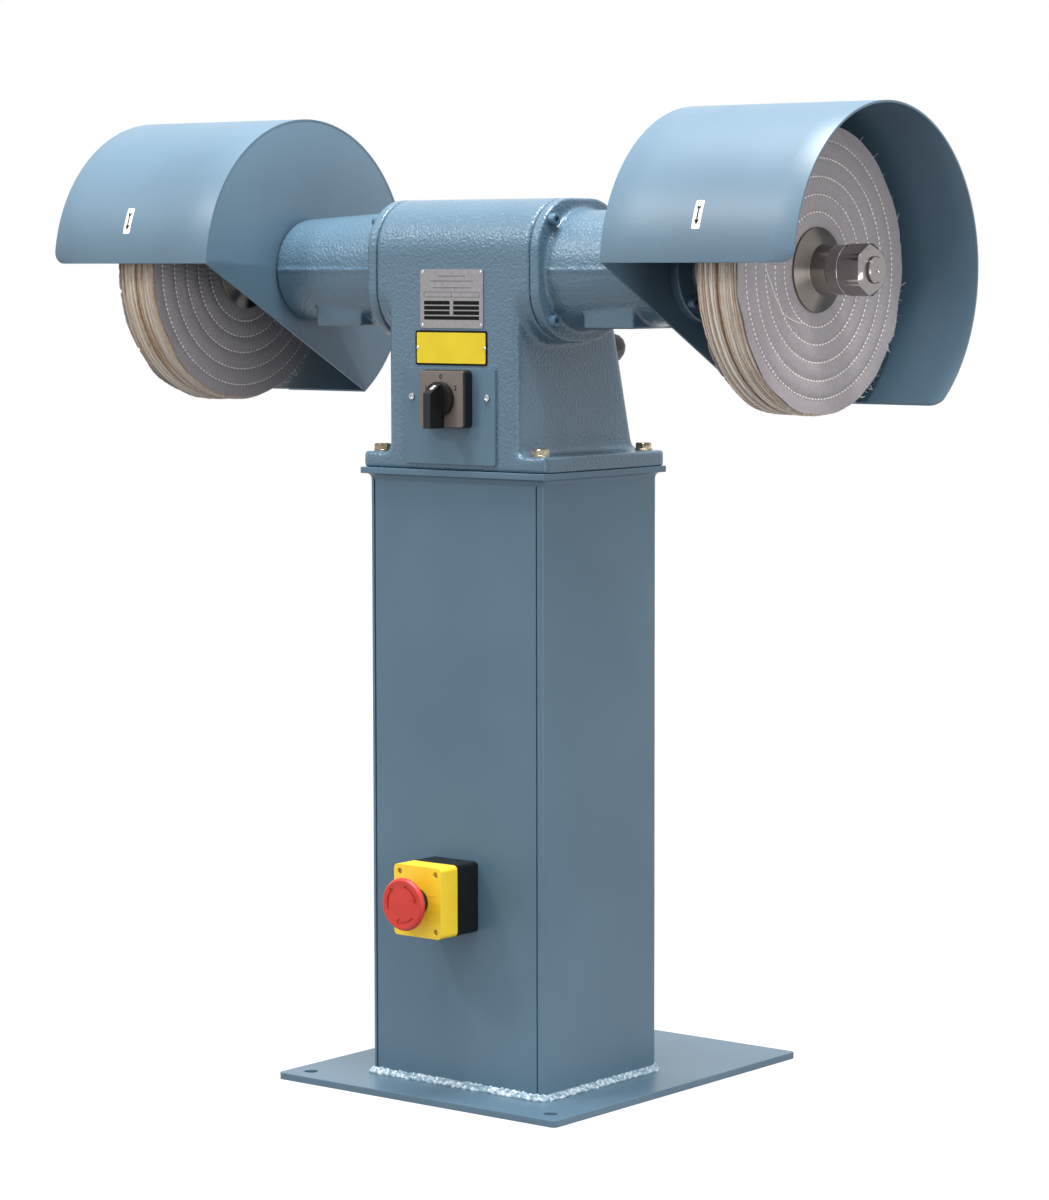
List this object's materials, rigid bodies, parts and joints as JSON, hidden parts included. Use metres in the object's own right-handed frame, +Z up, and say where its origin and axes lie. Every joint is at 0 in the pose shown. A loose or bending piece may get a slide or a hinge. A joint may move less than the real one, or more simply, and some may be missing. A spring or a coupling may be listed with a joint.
{
  "type": "pedestal polishing machine",
  "caption": "Pedestal polishing machine: a motor housing on a welded column, with a cloth mop under an open-sided guard on each end of its spindle.",
  "frame": {"origin": "on the floor, under the centre of the pedestal column", "axes": "+Z up, -Y towards the operator in front of the machine, +X along the spindle to the operator's right"},
  "size_m": [1.05, 0.4928, 1.1017],
  "materials": {
    "sheet_paint": "semi-gloss grey-blue paint on steel sheet",
    "cast_paint": "glossy grey-blue paint with orange peel on cast iron",
    "weld_paint": "thin glossy paint over rippled weld",
    "turned_steel": "finely turned, bright",
    "zinc_steel": "yellowish zinc plating",
    "bearing_steel": "ground and polished",
    "motor_steel": "stacked electrical steel with varnished windings",
    "mop_cloth": "unbleached cotton discs, stitched in rings, frayed at the rim",
    "plate_aluminium": "satin anodised sheet",
    "yellow_label": "printed yellow sheet with a black border",
    "switch_grey": "warm grey metallised face",
    "black_plastic": "fine moulded texture",
    "yellow_plastic": "moulded, slightly glossy",
    "red_plastic": "moulded, satin"
  },
  "bodies": {
    "machine": {"base_plate": "sheet_paint", "pedestal_column": "sheet_paint", "pedestal_front_panel": "sheet_paint", "foot_weld": "weld_paint", "top_weld": "weld_paint", "pedestal_top_plate": "sheet_paint", "motor_housing": "cast_paint", "foot_bolt_left_front": "zinc_steel", "foot_bolt_left_rear": "zinc_steel", "foot_bolt_right_front": "zinc_steel", "foot_bolt_right_rear": "zinc_steel", "rating_plate": "plate_aluminium", "notice_plate": "yellow_label", "switch_cover_plate": "sheet_paint", "cover_screw_left": "zinc_steel", "cover_screw_right": "zinc_steel", "switch_base": "black_plastic", "switch_face_plate": "switch_grey", "switch_contact_block": "black_plastic", "stop_box_base": "black_plastic", "stop_box_cover": "yellow_plastic", "stop_bezel": "black_plastic", "stop_contact_block": "black_plastic", "cable_gland": "black_plastic", "stator": "motor_steel", "left_bearing_arm": "cast_paint", "left_arm_screw_upper_rear": "cast_paint", "left_arm_screw_upper_front": "cast_paint", "left_arm_screw_lower_front": "cast_paint", "left_arm_screw_lower_rear": "cast_paint", "left_guard": "sheet_paint", "left_bearing_cap": "cast_paint", "left_bearing_outer_ring": "bearing_steel", "right_bearing_arm": "cast_paint", "right_arm_screw_upper_rear": "cast_paint", "right_arm_screw_upper_front": "cast_paint", "right_arm_screw_lower_front": "cast_paint", "right_arm_screw_lower_rear": "cast_paint", "right_guard": "sheet_paint", "right_bearing_cap": "cast_paint", "right_bearing_outer_ring": "bearing_steel"},
    "spindle": {"rotor": "motor_steel", "spindle_shaft": "turned_steel", "left_bearing_inner_ring": "bearing_steel", "left_inner_mop_flange": "turned_steel", "left_inner_mop": "mop_cloth", "left_outer_mop": "mop_cloth", "left_outer_mop_flange": "turned_steel", "left_spindle_nut": "turned_steel", "right_bearing_inner_ring": "bearing_steel", "right_inner_mop_flange": "turned_steel", "right_inner_mop": "mop_cloth", "right_outer_mop": "mop_cloth", "right_outer_mop_flange": "turned_steel", "right_spindle_nut": "turned_steel"},
    "switch_knob": {"switch_knob": "black_plastic"},
    "stop_stem": {"stop_stem": "black_plastic"},
    "stop_button": {"stop_button": "red_plastic"}
  },
  "joints": [
    {"name": "spindle_spin", "type": "hinge", "parent": "machine", "child": "spindle", "pos_m": [0, -0.031, 0.927], "axis": [1, 0, 0], "continuous": true},
    {"name": "switch_turn", "type": "hinge", "parent": "machine", "child": "switch_knob", "pos_m": [0.001, -0.13, 0.785], "axis": [0, 1, 0], "range_deg": [-60, 60]},
    {"name": "stop_push", "type": "slide", "parent": "machine", "child": "stop_stem", "axis": [0, 1, 0], "range_m": [0, 0.006], "stiffness_N_per_m": 1500},
    {"name": "stop_twist", "type": "hinge", "parent": "stop_stem", "child": "stop_button", "pos_m": [-0.001, -0.19, 0.228], "axis": [0, 1, 0], "range_deg": [0, 30], "stiffness_Nm_per_rad": 0.1}
  ]
}
